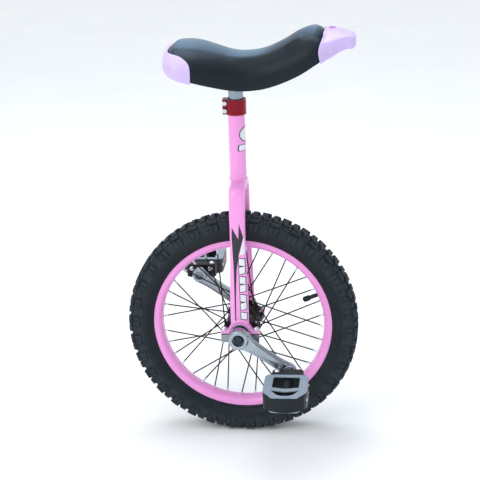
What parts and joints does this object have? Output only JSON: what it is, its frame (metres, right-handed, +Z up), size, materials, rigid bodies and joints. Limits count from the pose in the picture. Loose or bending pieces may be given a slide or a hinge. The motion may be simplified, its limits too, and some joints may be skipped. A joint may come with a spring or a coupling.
{
  "type": "unicycle",
  "caption": "Learner's unicycle: spoked wheel in a straight fork, cranks and pedals on the hub, and a curved saddle with a grab handle on a sliding post.",
  "frame": {"origin": "the tyre's contact with the ground, under the middle of the wheel", "axes": "+X is the front, where the saddle has its handle; -Y is the rider's right, +Z is up"},
  "size_m": [0.408, 0.42, 0.734],
  "materials": {
    "tyre_rubber": "matte black rubber with blocks moulded on it",
    "tube_rubber": "smooth black rubber",
    "pink_paint": "gloss powder coat",
    "black_paint": "gloss black",
    "dark_steel": "blackened steel wire",
    "zinc_steel": "dull zinc plate",
    "bolt_steel": "bright plated steel",
    "post_steel": "satin chrome plate",
    "crank_alloy": "grey, satin, forged",
    "red_alloy": "red anodised",
    "black_plastic": "fine moulded grain",
    "reflector": "clear amber red with prisms",
    "saddle_foam": "grey moulded foam",
    "saddle_vinyl": "black vinyl with a fine grain",
    "lilac_plastic": "satin moulded plastic"
  },
  "bodies": {
    "frame": {"fork_frame": "pink_paint", "bearing_right": "bolt_steel", "bearing_cap_right": "zinc_steel", "bearing_left": "bolt_steel", "bearing_cap_left": "zinc_steel", "cap_bolt_right_front": "bolt_steel", "cap_bolt_right_rear": "bolt_steel", "cap_bolt_left_front": "bolt_steel", "cap_bolt_left_rear": "bolt_steel"},
    "clamp": {"seat_clamp": "red_alloy", "clamp_bolt_upper": "bolt_steel", "clamp_bolt_lower": "bolt_steel"},
    "seat": {"seatpost": "post_steel", "saddle_base": "black_plastic", "saddle_foam": "saddle_foam", "saddle_cover": "saddle_vinyl", "front_bumper": "lilac_plastic", "rear_bumper": "lilac_plastic", "saddle_bolt_1": "zinc_steel", "saddle_bolt_2": "zinc_steel", "saddle_bolt_3": "zinc_steel", "saddle_bolt_4": "zinc_steel"},
    "wheel": {"tyre": "tyre_rubber", "inner_tube": "tube_rubber", "valve_cap": "black_plastic", "rim": "pink_paint", "rim_tape": "tube_rubber", "hub_shell": "black_paint", "axle": "zinc_steel", "spoke_pair_right_1": "dark_steel", "spoke_pair_right_2": "dark_steel", "spoke_pair_right_3": "dark_steel", "spoke_pair_right_4": "dark_steel", "spoke_pair_right_5": "dark_steel", "spoke_pair_right_6": "dark_steel", "spoke_pair_right_7": "dark_steel", "spoke_pair_right_8": "dark_steel", "spoke_pair_right_9": "dark_steel", "spoke_pair_left_1": "dark_steel", "spoke_pair_left_2": "dark_steel", "spoke_pair_left_3": "dark_steel", "spoke_pair_left_4": "dark_steel", "spoke_pair_left_5": "dark_steel", "spoke_pair_left_6": "dark_steel", "spoke_pair_left_7": "dark_steel", "spoke_pair_left_8": "dark_steel", "spoke_pair_left_9": "dark_steel", "crank_right": "crank_alloy", "crank_bolt_right": "dark_steel", "pedal_spindle_right": "zinc_steel", "crank_left": "crank_alloy", "crank_bolt_left": "dark_steel", "pedal_spindle_left": "zinc_steel"},
    "pedal_right": {"pedal_body_right": "black_plastic", "pedal_reflector_right_front": "reflector", "pedal_reflector_right_rear": "reflector"},
    "pedal_left": {"pedal_body_left": "black_plastic", "pedal_reflector_left_front": "reflector", "pedal_reflector_left_rear": "reflector"}
  },
  "joints": [
    {"name": "wheel_spin", "type": "hinge", "parent": "frame", "child": "wheel", "pos_m": [0, 0, 0.204], "axis": [0, 1, 0], "continuous": true},
    {"name": "pedal_spin_right", "type": "hinge", "parent": "wheel", "child": "pedal_right", "pos_m": [0.08601, -0.15, 0.14377], "axis": [0, 1, 0], "continuous": true},
    {"name": "pedal_spin_left", "type": "hinge", "parent": "wheel", "child": "pedal_left", "pos_m": [-0.08601, 0.15, 0.26423], "axis": [0, 1, 0], "continuous": true},
    {"name": "post_swivel", "type": "hinge", "parent": "frame", "child": "clamp", "pos_m": [0, 0, 0.597], "axis": [0, 0, 1], "range_deg": [-180, 180]},
    {"name": "post_slide", "type": "slide", "parent": "clamp", "child": "seat", "axis": [0, 0, 1], "range_m": [-0.015, 0.085]}
  ]
}
